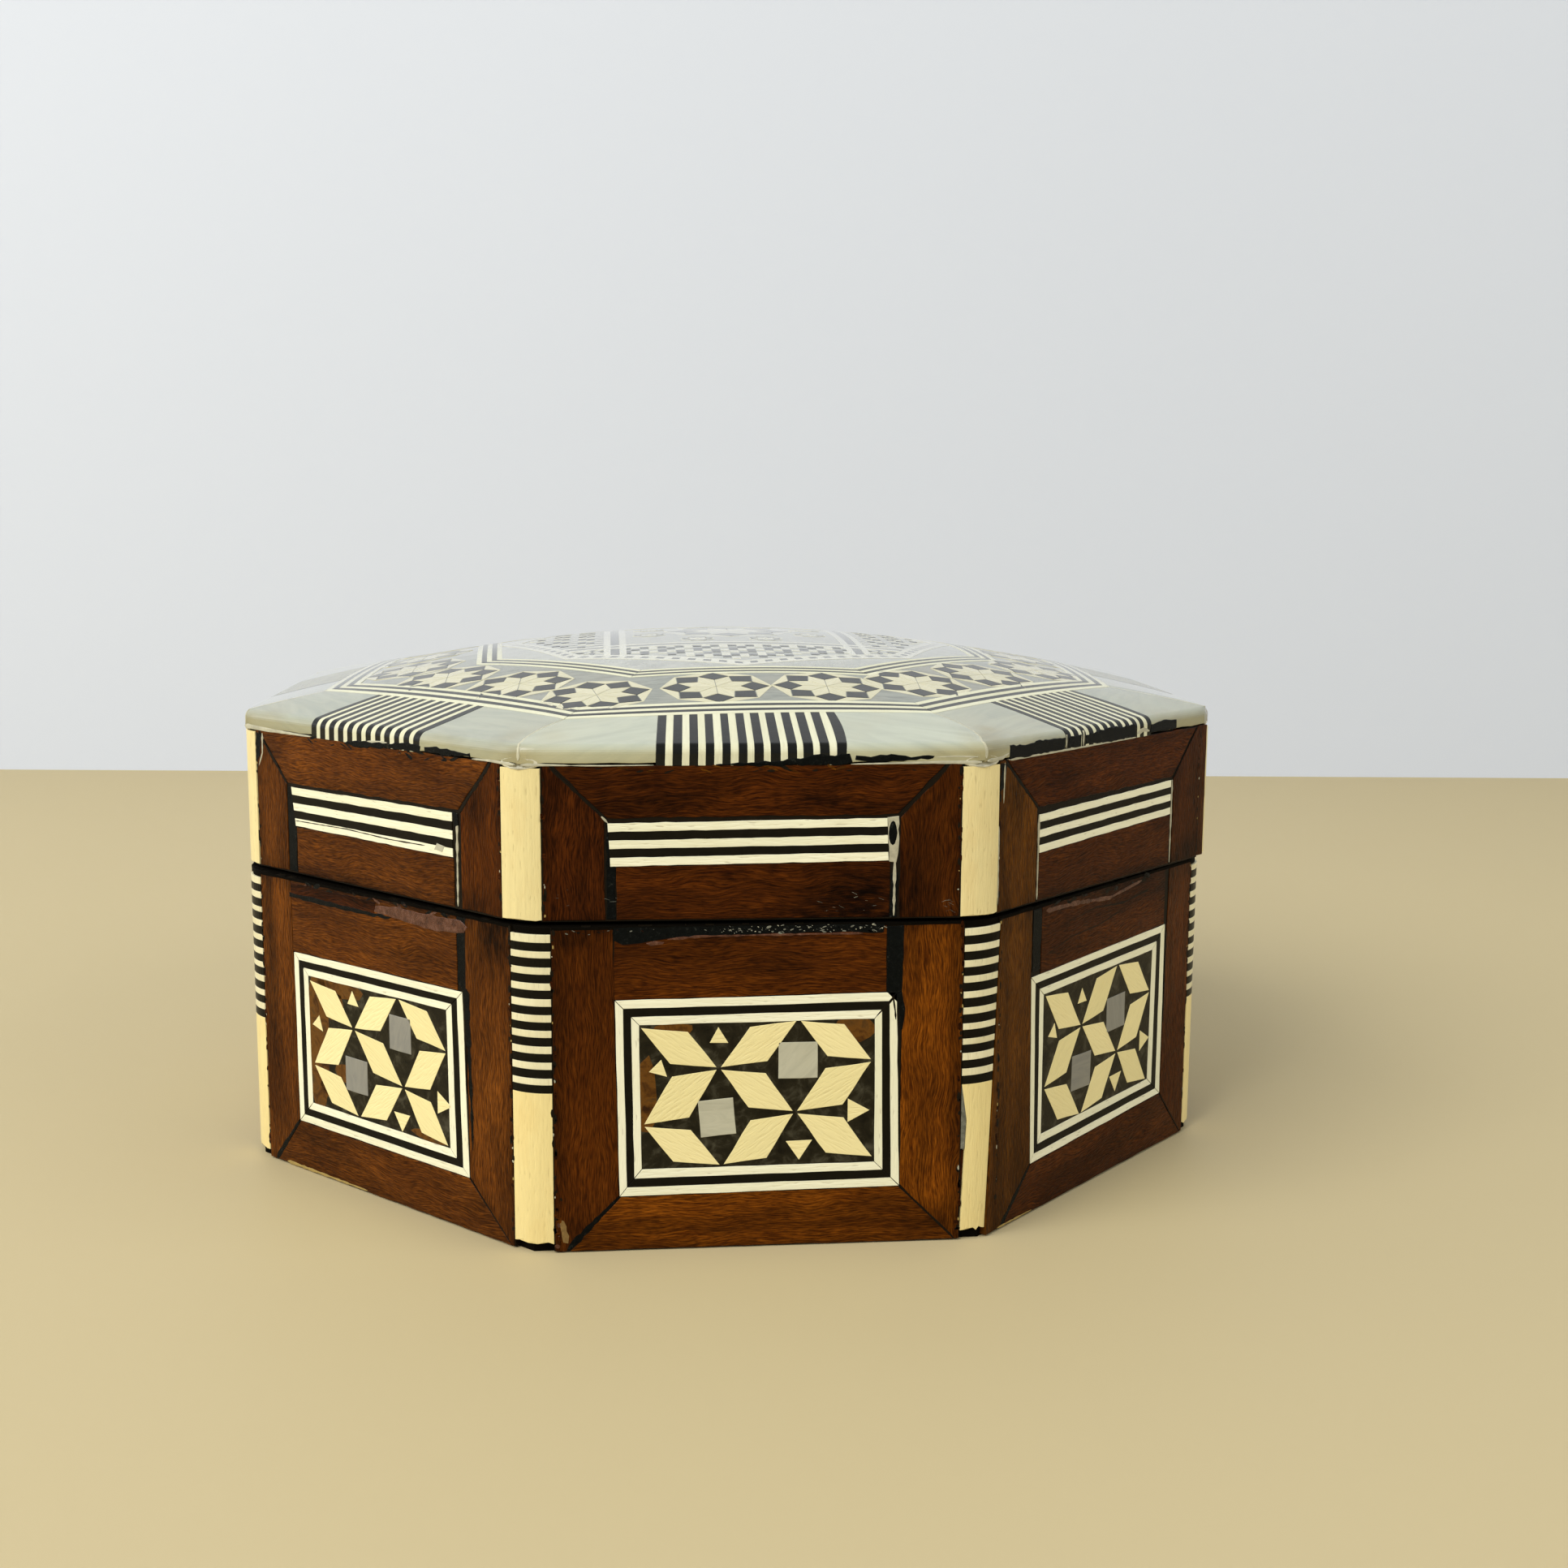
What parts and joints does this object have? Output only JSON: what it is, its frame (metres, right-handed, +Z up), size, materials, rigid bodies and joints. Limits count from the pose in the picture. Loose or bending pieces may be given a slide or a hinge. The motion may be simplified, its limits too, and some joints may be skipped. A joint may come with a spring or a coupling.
{
  "type": "octagonal inlaid shell box with lift-off lid",
  "caption": "Octagonal wooden trinket box with a shallow domed lift-off lid, inlaid with mother-of-pearl, bone and black mosaic.",
  "frame": {"origin": "on the table under the middle of the lid, which is the middle of the whole footprint", "axes": "+Z up, -Y towards the front face, +X to the right of someone who looks at the front face"},
  "size_m": [0.1524, 0.1524, 0.0796],
  "materials": {
    "mahogany": "reddish-brown mahogany veneer under gloss varnish",
    "bone": "aged cream bone, polished",
    "base_mosaic": "black resin ground with cream bone lozenges, grey shell squares and string border",
    "stringing": "alternate cream bone and black strings",
    "mother_of_pearl": "pale grey-green nacre, polished and varnished",
    "lid_mosaic": "mosaic of cream bone, black resin and grey shell, varnished"
  },
  "bodies": {
    "root": {"base_carcass": "mahogany", "base_corner_strip_1": "bone", "base_corner_strip_2": "bone", "base_corner_strip_3": "bone", "base_corner_strip_4": "bone", "base_corner_strip_5": "bone", "base_corner_strip_6": "bone", "base_corner_strip_7": "bone", "base_corner_strip_8": "bone", "base_panel_front": "base_mosaic", "base_panel_front_right": "base_mosaic", "base_panel_right": "base_mosaic", "base_panel_back_right": "base_mosaic", "base_panel_back": "base_mosaic", "base_panel_back_left": "base_mosaic", "base_panel_left": "base_mosaic", "base_panel_front_left": "base_mosaic", "lid_carcass": "mahogany", "lid_corner_strip_1": "bone", "lid_corner_strip_2": "bone", "lid_corner_strip_3": "bone", "lid_corner_strip_4": "bone", "lid_corner_strip_5": "bone", "lid_corner_strip_6": "bone", "lid_corner_strip_7": "bone", "lid_corner_strip_8": "bone", "lid_string_band_front": "stringing", "lid_string_band_front_right": "stringing", "lid_string_band_right": "stringing", "lid_string_band_back_right": "stringing", "lid_string_band_back": "stringing", "lid_string_band_back_left": "stringing", "lid_string_band_left": "stringing", "lid_string_band_front_left": "stringing", "lid_shell_left_front": "mother_of_pearl", "lid_shell_left_front_right": "mother_of_pearl", "lid_shell_left_right": "mother_of_pearl", "lid_shell_left_back_right": "mother_of_pearl", "lid_shell_left_back": "mother_of_pearl", "lid_shell_left_back_left": "mother_of_pearl", "lid_shell_left_left": "mother_of_pearl", "lid_shell_left_front_left": "mother_of_pearl", "lid_shell_right_front": "mother_of_pearl", "lid_shell_right_front_right": "mother_of_pearl", "lid_shell_right_right": "mother_of_pearl", "lid_shell_right_back_right": "mother_of_pearl", "lid_shell_right_back": "mother_of_pearl", "lid_shell_right_back_left": "mother_of_pearl", "lid_shell_right_left": "mother_of_pearl", "lid_shell_right_front_left": "mother_of_pearl", "lid_striped_patch_front": "stringing", "lid_striped_patch_front_right": "stringing", "lid_striped_patch_right": "stringing", "lid_striped_patch_back_right": "stringing", "lid_striped_patch_back": "stringing", "lid_striped_patch_back_left": "stringing", "lid_striped_patch_left": "stringing", "lid_striped_patch_front_left": "stringing", "lid_star_ring": "lid_mosaic", "lid_centre_panel": "lid_mosaic"}
  },
  "joints": []
}
